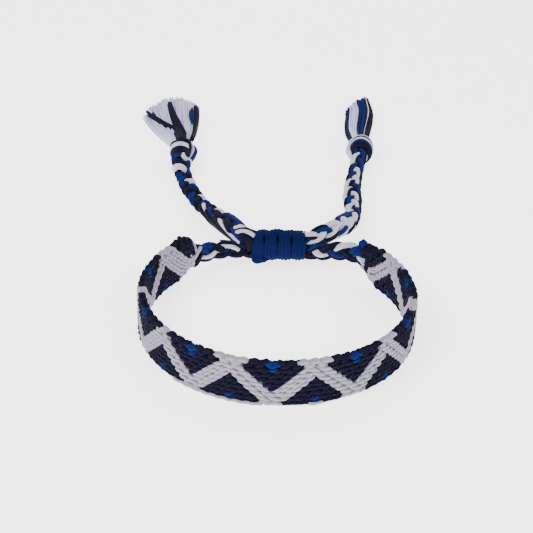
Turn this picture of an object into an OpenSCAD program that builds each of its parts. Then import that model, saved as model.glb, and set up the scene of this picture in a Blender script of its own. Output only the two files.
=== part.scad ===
// Woven friendship bracelet, closed to wear size and standing on the band's lower edge.
// Millimetres, +Z up. The wrist's axis is the Z axis and the surface is z = 0.
// The middle of the band faces -Y and the sliding knot lies at +Y.
// A braid runs from each end of the band to the sliding knot. It comes out on the knot's
// other side as a tail, which lies on the surface and ends in an end knot and a tassel.

/* [Woven band] */
// Inner diameter of the closed loop, where the wrist goes
wrist_d = 62.2; // [60:0.2:72]
// Width of the band, which is its height as it stands
band_w = 11; // [9:0.5:14]
// Thickness of the band
band_t = 2.2; // [1.6:0.1:3]
// Radius of the band's long edges
band_edge_r = 0.7; // [0.2:0.05:0.75]
// Length of the loop's back that the band leaves open
closure_len = 48; // [44:1:60]
// Length at each end over which the band narrows to a braid
taper_len = 5.5; // [3:0.5:8]
// Height of the left braid's middle where the band ends
left_end_z = 5.4; // [4:0.1:7]
// Height of the right braid's middle where the band ends
right_end_z = 6.6; // [4:0.1:7]

/* [Lumps at the band's ends] */
// Length along the band of the knotted lump at the left end
left_lump_len = 3.8; // [2:0.1:5]
// Length along the band of the wrapped lump at the right end
right_lump_len = 2.4; // [1.5:0.1:4]
// How far a lump stands above the band's upper edge
lump_rise = 1.1; // [0.4:0.1:2]
// Thickness of a lump
lump_t = 3.4; // [3.1:0.1:4.5]
// Height of a lump
lump_h = 6.2; // [3:0.1:8]

/* [Braids] */
// Width of a braid across its flat side
braid_w = 4.4; // [3.6:0.1:5]
// Thickness of a braid
braid_t = 3.8; // [3:0.1:4.2]

/* [Sliding knot] */
// Length of the sliding knot along the loop
slide_len = 13.6; // [9:0.2:18]
// Height of the sliding knot
slide_h = 7.4; // [7:0.1:10]
// Depth of the sliding knot, front to back
slide_depth = 6.2; // [5:0.1:8]
// Height of the sliding knot's middle above the surface
slide_z = 5.7; // [5.2:0.1:8]
// How far the knot's middle lies to the right of the loop's middle
slide_shift = 0.3; // [-2:0.1:2]
// Number of knotted groups of wraps
slide_wraps = 4; // [2:1:6]
// Width of the groove between two groups
groove_w = 0.5; // [0.2:0.1:1]
// Depth of the groove between two groups
groove_deep = 0.5; // [0.2:0.1:0.8]
// Share of a braid's section that is left where the knot grips it
grip = 0.8; // [0.7:0.01:0.85]
// Radius of the tied-off lump at the knot's lower left
tie_r = 1.6; // [1:0.1:1.8]

/* [End knots] */
// Length of an end knot along its braid
end_knot_len = 8; // [7:0.5:12]
// Diameter of an end knot
end_knot_d = 7.2; // [6.4:0.1:9]

/* [Tassels] */
// Length of the left tassel past its end knot
left_tassel_len = 36; // [20:1:50]
// Width of one lock of the left tassel
left_lock_w = 4.8; // [3:0.1:7]
// Thickness of one lock of the left tassel
left_lock_t = 2.8; // [1.5:0.1:3.6]
// Length of the right tassel past its end knot
right_tassel_len = 38; // [20:1:50]
// Width of one lock of the right tassel
right_lock_w = 3.2; // [3:0.1:6]
// Thickness of one lock of the right tassel
right_lock_t = 3.4; // [1.5:0.1:4]
// Length of the gathered head that carries a tassel's locks
head_len = 3; // [1.5:0.5:5]

/* [Hidden] */

NAVY = [0.10, 0.10, 0.20];
BLUE = [0.06, 0.22, 0.50];
WHITE = [0.80, 0.79, 0.83];
MIXED = [0.42, 0.44, 0.58];

// Loop
ring_r = wrist_d / 2 + band_t / 2;
closure_angle = closure_len / ring_r * 180 / PI;
band_half_angle = 180 - closure_angle / 2;
taper_angle = taper_len / ring_r * 180 / PI;
tip_t = 0.2;
ledge = 0.1;

// Sliding knot, with its back flush with the loop's outer face
slide_y = ring_r + band_t / 2 - slide_depth / 2;
left_face_x = slide_shift - slide_len / 2;
right_face_x = slide_shift + slide_len / 2;
braid_gap = 0.2;
stack_z = (grip * braid_t + braid_gap) / 2;
wrap_len = slide_len / slide_wraps;

// Braids
tube_sides = 10;
closing_steps = 5;
closing_pull = 0.8;
rest_z = braid_t / 2;
tail_exit_z = slide_z + stack_z;
closing_exit_z = slide_z - stack_z;
knot_z = end_knot_d / 2;

// Routes of the tails, from the face of the sliding knot to the end knot.
// Columns: x and y from the knot's face in mm, share of the drop to the surface that
// is still to come, share of the rise to the end knot's middle, share of the section.
tail_left_route = [
    [0, 0, 1, 0, grip],
    [-2, 0.8, 1.08, 0, 0.9],
    [-4, 3.4, 1.08, 0, 1],
    [-5.8, 7.4, 0.96, 0, 1],
    [-7.6, 12, 0.74, 0, 1],
    [-10, 17, 0.46, 0, 1],
    [-12.8, 23, 0.18, 0, 1],
    [-15.6, 29, 0, 0, 1],
    [-18, 35, 0, 0, 1],
    [-20.2, 41.5, 0, 0, 1],
    [-21.8, 47.5, 0, 0, 1],
    [-23, 52.5, 0, 0.2, 1],
    [-23.7, 56, 0, 0.7, 1],
    [-23.9, 58.5, 0, 1, 1]
];
tail_right_route = [
    [0, 0, 1, 0, grip],
    [2, 0.6, 1.08, 0, 0.9],
    [4, 2.6, 1.06, 0, 1],
    [6.6, 5.6, 0.96, 0, 1],
    [9.4, 9.8, 0.78, 0, 1],
    [11.6, 15, 0.54, 0, 1],
    [13.2, 21, 0.26, 0, 1],
    [14, 27, 0.06, 0, 1],
    [14.2, 33, 0, 0, 1],
    [14.4, 39, 0, 0, 1],
    [14.8, 45, 0, 0, 1],
    [15.6, 51, 0, 0, 1],
    [16.4, 56.5, 0, 0.2, 1],
    [17.2, 61, 0, 0.7, 1],
    [17.6, 64, 0, 1, 1]
];

// Sections of a tassel's lock. Columns: shares of the lock's length, width, thickness
// and of its drop from the end knot's middle to the surface.
lock_sections = [
    [0.00, 0.45, 1.20, 0.00],
    [0.10, 0.66, 1.20, 0.25],
    [0.26, 0.88, 1.10, 0.70],
    [0.50, 1.00, 1.00, 1.00],
    [0.78, 1.00, 0.95, 1.00],
    [0.95, 0.92, 0.85, 1.00],
    [1.00, 0.60, 0.50, 1.00]
];

// Locks of each tassel. Columns: turn from the end knot's heading at the root and at
// the tip in degrees, shares of the tassel's length and of the lock's thickness, and
// distance of the root from the head's middle as a share of the braid's thickness.
left_locks = [
    [27, 9, 0.92, 0.90, 0.34],
    [19, 6, 1.00, 1.02, 0.20],
    [12, 4, 1.06, 0.92, 0.07],
    [4, 2, 1.09, 1.05, -0.07],
    [-4, 2, 1.09, 0.90, -0.20],
    [-11, 3, 1.05, 1.00, -0.34]
];
right_locks = [
    [16, 3, 0.86, 0.92, 0.30],
    [10, 5, 0.97, 1.05, 0.10],
    [3, 6, 1.08, 0.95, -0.10],
    [-3, 8, 1.14, 1.02, -0.30]
];

// A vector's direction
function unit(v) = v / norm(v);

// Elliptical ring of points at p, square to the heading t, w across and h high
function ring_at(p, t, w, h) =
    let (s = unit(cross(t, [0, 0, 1])), u = cross(s, t))
    [for (k = [0:tube_sides - 1])
        let (a = 360 * k / tube_sides)
        p + s * cos(a) * w / 2 + u * sin(a) * h / 2];

// Heading at each point of a route that starts and ends in given directions
function headings(route, first, last) = [
    for (i = [0:len(route) - 1])
        i == 0 ? first : i == len(route) - 1 ? last : unit(route[i + 1] - route[i - 1])
];

// Point at share u of the smooth curve from p0 to p1, with end velocities v0 and v1
function blend_point(p0, p1, v0, v1, u) =
    let (a = u * u * (3 - 2 * u))
    p0 * (1 - a) + p1 * a + v0 * u * (1 - u) * (1 - u) - v1 * u * u * (1 - u);

// Point of the loop's middle line at an angle from the front, and the heading there
function loop_point(angle, z) = [ring_r * sin(angle), -ring_r * cos(angle), z];
function loop_heading(angle) = [cos(angle), sin(angle), 0];

// Tail route in the part's frame. side is -1 for the left tail and 1 for the right.
function tail_points(table, side) = [
    for (row = table) [
        (side < 0 ? left_face_x : right_face_x) + row[0],
        slide_y + row[1],
        rest_z + row[2] * (tail_exit_z - rest_z) + row[3] * (knot_z - rest_z)
    ]
];

// Heading in the plane of the last stretch of a tail
function end_heading(points) =
    let (n = len(points), d = points[n - 1] - points[n - 2])
    unit([d[0], d[1], 0]);
function end_angle(points) = let (h = end_heading(points)) atan2(h[1], h[0]);

// Centre of a lock's section i, walked from its root along its turning heading
function lock_spot(i, turn, length) =
    i == 0 ? [0, 0] : lock_spot(i - 1, turn, length) + lock_step(i, turn, length);
function lock_step(i, turn, length) =
    let (
        share = (lock_sections[i][0] + lock_sections[i - 1][0]) / 2,
        a = turn[0] + (turn[1] - turn[0]) * share,
        run = length * (lock_sections[i][0] - lock_sections[i - 1][0])
    )
    run * [cos(a), sin(a)];

// Closed skin over a row of rings that have the same number of points
module skin(rings) {
    n = len(rings[0]);
    last = len(rings) - 1;
    polyhedron(
        points = [for (r = rings) each r],
        faces = concat(
            [[for (k = [0:n - 1]) k]],
            [for (i = [0:last - 1], k = [0:n - 1])
                let (a = i * n + k, b = i * n + (k + 1) % n)
                each [[a, a + n, b], [b, a + n, b + n]]],
            [[for (k = [n - 1:-1:0]) last * n + k]]
        )
    );
}

// Upright rectangle with round corners, centred across and standing on the base line
module round_rect(w, h, r) {
    translate([-w / 2 + r, 0]) square([w - 2 * r, h]);
    translate([-w / 2, r]) square([w, h - 2 * r]);
    for (x = [-w / 2 + r, w / 2 - r], y = [r, h - r]) translate([x, y]) circle(r, $fn = 32);
}

// Stretch of the loop, an upright round rectangle swept between two angles from the front
module loop_arc(from, to, w, h, r) {
    rotate([0, 0, from - 90])
        rotate_extrude(angle = to - from, $fn = 96)
            translate([ring_r, 0]) round_rect(w, h, r);
}

// Puts its children at an angle from the front, with their z axis along the loop
module at_loop(angle) {
    rotate([0, 0, angle - 90]) translate([ring_r, 0, 0]) rotate([90, 0, 0]) children();
}

// Right end of the band, from its full width down to a braid's section at height z
module band_end(z) {
    hull() {
        at_loop(band_half_angle - taper_angle)
            linear_extrude(tip_t) translate([0, ledge])
                round_rect(band_t - 2 * ledge, band_w - 2 * ledge, band_edge_r);
        at_loop(band_half_angle)
            linear_extrude(tip_t) translate([0, z]) scale([braid_w, braid_t] / 2) circle(1, $fn = 24);
    }
}

// Lump of thicker knots on the upper edge at the right end of the band
module band_lump(length) {
    to = band_half_angle - taper_angle / 2;
    translate([0, 0, band_w + lump_rise - lump_h])
        loop_arc(to - length / ring_r * 180 / PI, to, lump_t, lump_h, lump_t / 2 - tip_t);
}

module band() color(NAVY) {
    reach = band_half_angle - taper_angle;
    loop_arc(-reach, reach, band_t, band_w, band_edge_r);
    band_end(right_end_z);
    band_lump(right_lump_len);
    mirror([1, 0, 0]) {
        band_end(left_end_z);
        band_lump(left_lump_len);
    }
}

// Braid from an end of the band to the sliding knot's face
module closing_braid(side, end_z, face_x) {
    angle = side * band_half_angle;
    start = loop_point(angle, end_z);
    finish = [face_x, slide_y, closing_exit_z];
    away = side * loop_heading(angle);
    into = [-side, 0, 0];
    pull = closing_pull * norm(finish - start);
    spots = [for (i = [0:closing_steps]) blend_point(start, finish, away * pull, into * pull, i / closing_steps)];
    turns = headings(spots, away, into);
    skin([for (i = [0:closing_steps])
        let (k = 1 - (1 - grip) * pow(i / closing_steps, 2))
        ring_at(spots[i], turns[i], braid_w * k, braid_t * k)]);
}

module closing_braid_left() color(MIXED) closing_braid(-1, left_end_z, left_face_x);
module closing_braid_right() color(MIXED) closing_braid(1, right_end_z, right_face_x);

// Solid of the knot's section, with its flat ends square to the loop
module slide_bar(length, shrink) {
    w = slide_depth - 2 * shrink;
    h = slide_h - 2 * shrink;
    rotate([90, 0, 90]) linear_extrude(length) translate([0, -h / 2]) round_rect(w, h, w / 2 - tip_t);
}

module sliding_knot() color(BLUE)
    translate([left_face_x, slide_y, slide_z]) {
        slide_bar(slide_len, groove_deep);
        for (i = [0:slide_wraps - 1])
            translate([i * wrap_len + (i > 0 ? groove_w / 2 : 0), 0, 0])
                slide_bar(wrap_len - groove_w / (i > 0 && i < slide_wraps - 1 ? 1 : 2), 0);
        translate([tie_r, -slide_depth / 2 + groove_deep, tie_r - slide_h / 2 - groove_deep])
            sphere(tie_r, $fn = 32);
    }

module tail(table, side) {
    points = tail_points(table, side);
    turns = headings(points, [side, 0, 0], end_heading(points));
    skin([for (i = [0:len(points) - 1])
        ring_at(points[i], turns[i], braid_w * table[i][4], braid_t * table[i][4])]);
}

module tail_left() color(MIXED) tail(tail_left_route, -1);
module tail_right() color(MIXED) tail(tail_right_route, 1);

// Puts its children at the end of a tail, with their x axis along it
module at_tail_end(table, side, along) {
    points = tail_points(table, side);
    translate(points[len(points) - 1]) rotate([0, 0, end_angle(points)]) translate([along, 0, 0])
        children();
}

// Two turns of braid drawn tight round it: a full one at the far end, a smaller one before it
module end_knot() {
    far_r = end_knot_len * 0.27;
    near_r = end_knot_len * 0.24;
    rotate([0, 90, 0]) rotate_extrude($fn = 48) intersection() {
        square([end_knot_d, end_knot_len]);
        union() {
            square([braid_w / 2, end_knot_len]);
            translate([end_knot_d / 2 - far_r, end_knot_len * 0.68]) circle(far_r, $fn = 32);
            translate([end_knot_d * 0.46 - near_r, end_knot_len * 0.3]) circle(near_r, $fn = 32);
        }
    }
}

module end_knot_left() color(NAVY) at_tail_end(tail_left_route, -1, 0) end_knot();
module end_knot_right() color(NAVY) at_tail_end(tail_right_route, 1, 0) end_knot();

// Flat oval section i of a lock
module lock_section(i, turn, length, w, t) {
    row = lock_sections[i];
    spot = lock_spot(i, turn, length);
    high = row[2] * t;
    translate([spot[0], spot[1], row[3] * (high / 2 - knot_z)])
        rotate([90, 0, 90 + turn[0] + (turn[1] - turn[0]) * row[0]])
            linear_extrude(tip_t) scale([row[1] * w, high] / 2) circle(1, $fn = 16);
}

// Strip of loose yarn ends that leaves the head and comes down on the surface
module lock(turn, length, w, t) {
    for (i = [1:len(lock_sections) - 1])
        hull() {
            lock_section(i - 1, turn, length, w, t);
            lock_section(i, turn, length, w, t);
        }
}

// Gathered head against the end knot, with the locks fused into it
module tassel(locks, length, w, t) {
    root = head_len / 3;
    rotate([0, 90, 0]) cylinder(head_len, d = braid_t, $fn = 32);
    for (row = locks)
        translate([root, row[4] * braid_t, 0])
            lock([row[0], row[1]], length * row[2] - root - tip_t, w, t * row[3]);
}

module tassel_left() color(WHITE)
    at_tail_end(tail_left_route, -1, end_knot_len)
        tassel(left_locks, left_tassel_len, left_lock_w, left_lock_t);
module tassel_right() color(WHITE)
    at_tail_end(tail_right_route, 1, end_knot_len)
        tassel(right_locks, right_tassel_len, right_lock_w, right_lock_t);

band();
closing_braid_left();
closing_braid_right();
sliding_knot();
tail_left();
tail_right();
end_knot_left();
end_knot_right();
tassel_left();
tassel_right();
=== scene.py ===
"""Looks of the woven friendship bracelet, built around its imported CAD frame."""

import math

import bpy
import numpy as np
from mathutils import Matrix, Vector


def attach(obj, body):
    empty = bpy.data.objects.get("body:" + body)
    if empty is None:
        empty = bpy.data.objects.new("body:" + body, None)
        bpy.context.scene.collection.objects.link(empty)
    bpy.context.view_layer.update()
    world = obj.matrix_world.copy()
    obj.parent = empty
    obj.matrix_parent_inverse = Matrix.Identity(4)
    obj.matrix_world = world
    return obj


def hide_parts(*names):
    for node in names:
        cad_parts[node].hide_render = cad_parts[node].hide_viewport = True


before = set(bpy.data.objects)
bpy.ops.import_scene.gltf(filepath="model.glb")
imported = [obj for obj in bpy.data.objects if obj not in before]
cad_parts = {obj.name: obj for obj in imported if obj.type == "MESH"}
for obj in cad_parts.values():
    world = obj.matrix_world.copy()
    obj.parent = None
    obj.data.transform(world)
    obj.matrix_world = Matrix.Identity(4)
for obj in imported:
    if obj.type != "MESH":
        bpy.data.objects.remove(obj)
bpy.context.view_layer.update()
rng = np.random.default_rng(11)

# Sizes and places are in mm, with x to the right, y away from the camera and z up from the
# table. Side -1 is the left of the photograph, and side 1 is the right
SIDES = {-1: "left", 1: "right"}
NAVY, BLUE, WHITE = 0, 1, 2

# The band is a ring that stands on its edge
RING = 32.2  # radius of its middle line
BAND_W = 11.0
STRINGS = 9
LINES = STRINGS - 1  # lines of knots
STEP_H = BAND_W / STRINGS  # from one line of knots up to the next
REPEAT = 14  # columns of knots in one repeat of the zigzag
STEP_S = 18.55 / REPEAT  # from one column of knots to the next
S_APEX = -10.0  # a top point of the white zigzag, along the band from its front
STRETCH = 1.4  # how much longer the last repeat before the right end is
STRETCH_FROM, STRETCH_OVER = 54, 10  # where that begins, and over what length
S_TAPER, S_END = 71.66, 77.16  # the band narrows from the first to the second
END_W = 3.4
END_SWELL = 0.7  # how much thicker it is at S_END, as a share
END_Z = {-1: 5.4, 1: 6.6}  # height of its middle at S_END

# Middle of the sliding knot, its two faces, and the heights at which the tails and closing
# braids leave it, a tail lies on the table, and an end knot has its middle
SLIDE_Y, SLIDE_Z = 30.2, 5.7
FACE_X = {-1: -6.5, 1: 7.1}
TAIL_Z, CLOSING_Z, REST_Z, KNOT_Z = 7.32, 4.08, 1.9, 3.6

# How far yarns stay clear of the table
BRAID_GAP, TASSEL_GAP = 0.03, 0.02

# Routes of the tails: x and y from the face of the sliding knot, then how much of the height
# comes from where the tail leaves that knot, and how much from its end knot
TAIL = {
    -1: [
        (0, 0, 1, 0), (-2, 0.8, 1.08, 0), (-4, 3.4, 1.08, 0), (-5.8, 7.4, 0.96, 0), (-7.6, 12, 0.74, 0),
        (-10, 17, 0.46, 0), (-12.8, 23, 0.18, 0), (-15.6, 29, 0, 0), (-18, 35, 0, 0), (-20.2, 41.5, 0, 0),
        (-21.8, 47.5, 0, 0), (-23, 52.5, 0, 0.2), (-23.7, 56, 0, 0.7), (-23.9, 58.5, 0, 1),
    ],
    1: [
        (0, 0, 1, 0), (2, 0.6, 1.08, 0), (4, 2.6, 1.06, 0), (6.6, 5.6, 0.96, 0), (9.4, 9.8, 0.78, 0),
        (11.6, 15, 0.54, 0), (13.2, 21, 0.26, 0), (14, 27, 0.06, 0), (14.2, 33, 0, 0), (14.4, 39, 0, 0),
        (14.8, 45, 0, 0), (15.6, 51, 0, 0), (16.4, 56.5, 0, 0.2), (17.2, 61, 0, 0.7), (17.6, 64, 0, 1),
    ],
}


def tail_route(side):
    """Middle of a tail, from the sliding knot to its end knot."""
    return np.array([
        (FACE_X[side] + x, SLIDE_Y + y, REST_Z + d * (TAIL_Z - REST_Z) + r * (KNOT_Z - REST_Z))
        for x, y, d, r in TAIL[side]
    ])


# Materials
PLIES = 3
FIBRE_SCALE, DYE_SCALE = 3800, 420
PLY_PAINTED_SHADE, FIBRE_SHADE, DYE_SHADE = 0.62, 0.34, 0.34  # how much each one changes the colour: the plies' part is painted shade in the grooves between them, and the fibres and the dye vary the tone at random
SHADE_SHIFT = 0.12
ROUGHNESS, SHEEN_ROUGHNESS, SPECULAR = 0.92, 0.6, 0.06
PLY_HEIGHT, FIBRE_HEIGHT = 0.7, 0.5
BUMP_STRENGTH, BUMP_DEPTH = 0.7, 0.00012


def cotton(name, colour, dark_dye_and_groove_shade, sheen, twist=1.0):
    """Matte cotton yarn with twisted plies, fine fibres and uneven dye. Its darker second colour serves
    the fibres and the uneven dye, and is painted shade in the grooves between the plies; twist says how much
    the plies show."""
    m = bpy.data.materials.new(name)
    m.use_nodes = True
    n, link = m.node_tree.nodes, m.node_tree.links.new
    bsdf = n["Principled BSDF"]
    bsdf.inputs["Roughness"].default_value = ROUGHNESS
    bsdf.inputs["Sheen Weight"].default_value = sheen
    bsdf.inputs["Sheen Roughness"].default_value = SHEEN_ROUGHNESS
    bsdf.inputs["Specular IOR Level"].default_value = SPECULAR
    where = n.new("ShaderNodeTexCoord")

    def maths(operation, *values):
        node = n.new("ShaderNodeMath")
        node.operation = operation
        for socket, value in zip(node.inputs, values):
            if isinstance(value, (int, float)):
                socket.default_value = value
            else:
                link(value, socket)
        return node.outputs[0]

    def noise(scale, detail):
        node = n.new("ShaderNodeTexNoise")
        node.inputs["Scale"].default_value = scale
        node.inputs["Detail"].default_value = detail
        link(where.outputs["Object"], node.inputs["Vector"])
        return node.outputs["Fac"]

    # The yarn coordinate goes once round the yarn in u, and up by 1 in v for each lay
    uv = n.new("ShaderNodeUVMap")
    uv.uv_map = "yarn"
    split = n.new("ShaderNodeSeparateXYZ")
    link(uv.outputs[0], split.inputs[0])
    turn = maths("ADD", maths("MULTIPLY", split.outputs[0], PLIES), split.outputs[1])
    ply = maths("ABSOLUTE", maths("SINE", maths("MULTIPLY", turn, math.pi)))
    fibre, dye = noise(FIBRE_SCALE, 3), noise(DYE_SCALE, 2)

    # The grooves between the plies are painted towards the darker colour as painted shade, and the fibres and
    # the dye vary it at random
    shade = maths("MULTIPLY", maths("POWER", ply, 0.5), PLY_PAINTED_SHADE * twist)
    shade = maths("ADD", shade, 0.5 * (1 - twist))
    shade = maths("ADD", shade, maths("MULTIPLY", fibre, FIBRE_SHADE))
    shade = maths("ADD", shade, maths("MULTIPLY", dye, DYE_SHADE))
    mix = n.new("ShaderNodeMix")
    mix.data_type = "RGBA"
    mix.clamp_factor = True
    link(maths("SUBTRACT", shade, SHADE_SHIFT), mix.inputs[0])
    # Sockets 6 and 7 of this node are its two colours, and output 2 is the mixed one
    mix.inputs[6].default_value = (*dark_dye_and_groove_shade, 1)
    mix.inputs[7].default_value = (*colour, 1)
    link(mix.outputs[2], bsdf.inputs["Base Color"])

    height = maths("MULTIPLY", ply, PLY_HEIGHT * twist)
    height = maths("ADD", height, maths("MULTIPLY", fibre, FIBRE_HEIGHT))
    bump = n.new("ShaderNodeBump")
    bump.inputs["Strength"].default_value = BUMP_STRENGTH
    bump.inputs["Distance"].default_value = BUMP_DEPTH
    link(height, bump.inputs["Height"])
    link(bump.outputs[0], bsdf.inputs["Normal"])
    return m


YARN = [
    cotton("navy_yarn", (0.0060, 0.0055, 0.0200), (0.0018, 0.0016, 0.0065), 0.015),
    cotton("blue_yarn", (0.0050, 0.0145, 0.1130), (0.0022, 0.0055, 0.0380), 0.015),
    cotton("white_yarn", (0.5700, 0.5400, 0.6500), (0.3500, 0.3200, 0.4200), 0.08),
]
# All of the band's white yarns, and the core under its white knots, use a darker copy of the white yarn:
# painted shade
SHADED_BAND_WHITE = cotton("shaded_band_white_yarn", (0.3750, 0.3480, 0.4180), (0.1750, 0.1560, 0.2080), 0.05)
KNOT_BLUE = cotton("knot_blue_yarn", (0.0019, 0.0074, 0.0640), (0.0009, 0.0020, 0.0170), 0.015, 0.6)
LOOSE_WHITE = cotton("loose_white_yarn", (0.6400, 0.6150, 0.8300), (0.4000, 0.3700, 0.5500), 0.1, 0.3)


# Lines and tubes
def ease(u):
    """From 0 to 1, level at both ends."""
    return u * u * (3 - 2 * u)


def unit(v):
    """The same directions with length 1."""
    return v / np.maximum(np.linalg.norm(v, axis=-1, keepdims=True), 1e-9)


def lengths(line):
    """How far along the line each of its points is."""
    return np.concatenate([[0], np.cumsum(np.linalg.norm(np.diff(line, axis=0), axis=1))])


def respace(line, step):
    """The same line with its points about step apart."""
    along = lengths(line)
    at = np.linspace(0, along[-1], max(3, int(round(along[-1] / step)) + 1))
    return np.stack([np.interp(at, along, line[:, k]) for k in range(3)], axis=1)


def spline(points, step):
    """Smooth curve through the points, with its own points about step apart."""
    p = np.array(points, float)
    ext = np.vstack([2 * p[0] - p[1], p, 2 * p[-1] - p[-2]])
    t = np.linspace(0, 1, 12, endpoint=False)[:, None]
    fine = []
    for i in range(1, len(ext) - 2):
        a, b, c, d = ext[i - 1 : i + 3]
        square, cube = 2 * a - 5 * b + 4 * c - d, 3 * b - a - 3 * c + d
        fine.append(0.5 * (2 * b + (c - a) * t + square * t**2 + cube * t**3))
    return respace(np.vstack([*fine, p[-1:]]), step)


def sections(line, closed=False):
    """Two directions across the line, carried along it with little twist."""
    if closed:
        t = unit(np.roll(line, -1, 0) - np.roll(line, 1, 0))
    else:
        t = unit(np.gradient(line, axis=0))
    a = np.zeros_like(line)
    start = np.array([0, 0, 1.0]) if abs(t[0][2]) < 0.9 else np.array([1.0, 0, 0])
    v = unit(start - t[0] * (start @ t[0]))
    for i in range(len(line)):
        v = unit(v - t[i] * (v @ t[i]))
        a[i] = v
    return a, np.cross(t, a)


class Piece:
    """Collects tubes and makes them one mesh, with a yarn coordinate for the plies."""

    def __init__(self, name):
        self.name = name
        self.points, self.faces, self.uvs, self.materials = [], [], [], []
        self.count = 0  # points so far

    def tube(self, line, radius, material=0, sides=8, lay=2.4, closed=False, flat=1.0, caps=True):
        """A yarn along the line. Material counts the piece's own materials, lay is the length
        of one turn of the plies, and flat is the yarn's height as a share of its width."""
        line = np.asarray(line, float)
        k = len(line)
        a, b = sections(line, closed)
        angle = (np.arange(sides) * 2 * math.pi / sides)[None, :, None]
        ring = a[:, None] * np.cos(angle) + b[:, None] * np.sin(angle) * flat
        r = np.broadcast_to(np.asarray(radius, float), (k,))
        self.points.append((line[:, None] + ring * r[:, None, None]).reshape(-1, 3))
        base = self.count
        self.count += k * sides

        i, j = np.meshgrid(np.arange(k if closed else k - 1), np.arange(sides), indexing="ij")
        i2, j2 = (i + 1) % k, (j + 1) % sides
        quads = np.stack([i * sides + j, i * sides + j2, i2 * sides + j2, i2 * sides + j], -1)
        quads = quads.reshape(-1, 4) + base
        self.faces += quads.tolist()
        self.materials += [material] * len(quads)

        start = rng.random()
        along = lengths(line) / lay
        after = np.where(i2 == 0, along[-1] + 0.1, along[i2]) if closed else along[i2]
        u0, u1, v0, v1 = j / sides, (j + 1) / sides, along[i] + start, after + start
        corners = [np.stack(corner, -1) for corner in ((u0, v0), (u1, v0), (u1, v1), (u0, v1))]
        self.uvs.append(np.stack(corners, 2).reshape(-1, 2))
        if not closed and caps:
            for end, turn in ((0, -1), (k - 1, 1)):
                self.faces.append((base + end * sides + np.arange(sides))[::turn].tolist())
                self.uvs.append(np.tile([[0.25, along[end] + start]], (sides, 1)))
                self.materials.append(material)

    def build(self, slot, materials=YARN, smooth=True):
        """The finished object, from mm to metres."""
        mesh = bpy.data.meshes.new(self.name)
        mesh.from_pydata((np.vstack(self.points) * 0.001).tolist(), [], self.faces)
        for material in materials:
            mesh.materials.append(material)
        mesh.polygons.foreach_set("material_index", np.array(self.materials, np.int32))
        mesh.polygons.foreach_set("use_smooth", np.full(len(self.faces), smooth))
        layer = mesh.uv_layers.new(name="yarn")
        layer.data.foreach_set("uv", np.vstack(self.uvs).astype(np.float32).ravel())
        mesh.update()
        o = bpy.data.objects.new(self.name, mesh)
        bpy.context.scene.collection.objects.link(o)
        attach(o, "root")
        return o


def plump(t, ends):
    """Thickness of a knot for t from -1 to 1, where ends is its share at both ends."""
    return ends + (1 - ends) * (1 - t * t)


# The band
def taper(s):
    """0 along the band, and 1 where it ends in a braid."""
    return np.clip((np.abs(s) - S_TAPER) / (S_END - S_TAPER), 0, 1)


def mid_height(s):
    """Height of the band's middle above the table."""
    return BAND_W / 2 * (1 - taper(s)) + np.where(s < 0, END_Z[-1], END_Z[1]) * taper(s)


def width_share(s):
    return 1 - taper(s) * (1 - END_W / BAND_W)


def thickness_share(s):
    return 1 + taper(s) * END_SWELL


def on_band(s, h, n):
    """Point on the band: s along the loop from its front, h up from the lower edge, n out
    from the middle of its thickness. Past the taper it narrows to a braid."""
    s, h, n = (v.astype(float) for v in np.broadcast_arrays(s, h, n))
    radius, turn = RING + n * thickness_share(s), s / RING
    z = (h - BAND_W / 2) * width_share(s) + mid_height(s)
    return np.stack([radius * np.sin(turn), -radius * np.cos(turn), z], -1)


def column_at(c):
    """Where column c lies along the band."""
    s = S_APEX + c * STEP_S
    return s + STRETCH * min(max((s - STRETCH_FROM) / STRETCH_OVER, 0), 1)


# The chart of the knots, made from the photograph, has columns c, counted from the
# apex, and lines r, counted up from the lower edge. A knot sits where c and r are both even or
# both odd
HALF = REPEAT // 2
ZIGZAG = (HALF - 1, HALF + 1)  # the white lines are two knots wide
BLUE_REACH = 69  # the blue knots end this far along the band
LEFT_WHITE, RIGHT_WHITE = -46, 64  # columns from which the ends are white


def knot_colour(c, r):
    if (c % REPEAT, r) in ((0, 0), (HALF, LINES - 1)):
        return BLUE if abs(S_APEX + c * STEP_S) < BLUE_REACH else NAVY
    zigzag = (c + r) % REPEAT in ZIGZAG or (c - r) % REPEAT in ZIGZAG
    if zigzag and (c, r) != (RIGHT_WHITE - 1, 1):
        return WHITE
    left_end = c <= LEFT_WHITE and 1 <= r <= max(4, c - LEFT_WHITE + 6)
    right_end = c >= RIGHT_WHITE and r <= 5
    if left_end or right_end or (c, r) == (LEFT_WHITE + 1, LINES - 1):
        return WHITE
    return NAVY


band = {NAVY: Piece("band_navy"), BLUE: Piece("band_blue"), WHITE: Piece("band_white")}
END_MARGIN = 0.8
COLUMNS = range(
    math.ceil((-S_END + END_MARGIN - S_APEX) / STEP_S),
    math.floor((S_END - END_MARGIN - STRETCH - S_APEX) / STEP_S) + 1,
)

# A knot of the band, on its outer face (1) and its inner face (-1)
TURN_HALF = {1: 1.14, -1: 1.05}  # half the length of a turn of its yarn
TURN_R = {1: 0.43, -1: 0.46}
TURN_SHIFT, TURN_LIFT = 0.12, 0.4185 * STEP_H  # from the middle of the knot to that of a turn
TURN_OUT, TURN_BULGE = 0.16, 0.62  # how far out its ends are, and its middle beyond them
TURN_LOWEST = 0.5
OUTER_LEAN, INNER_LEAN = {True: -20, False: 18}, {True: -38, False: 38}  # degrees, by falling


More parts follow.
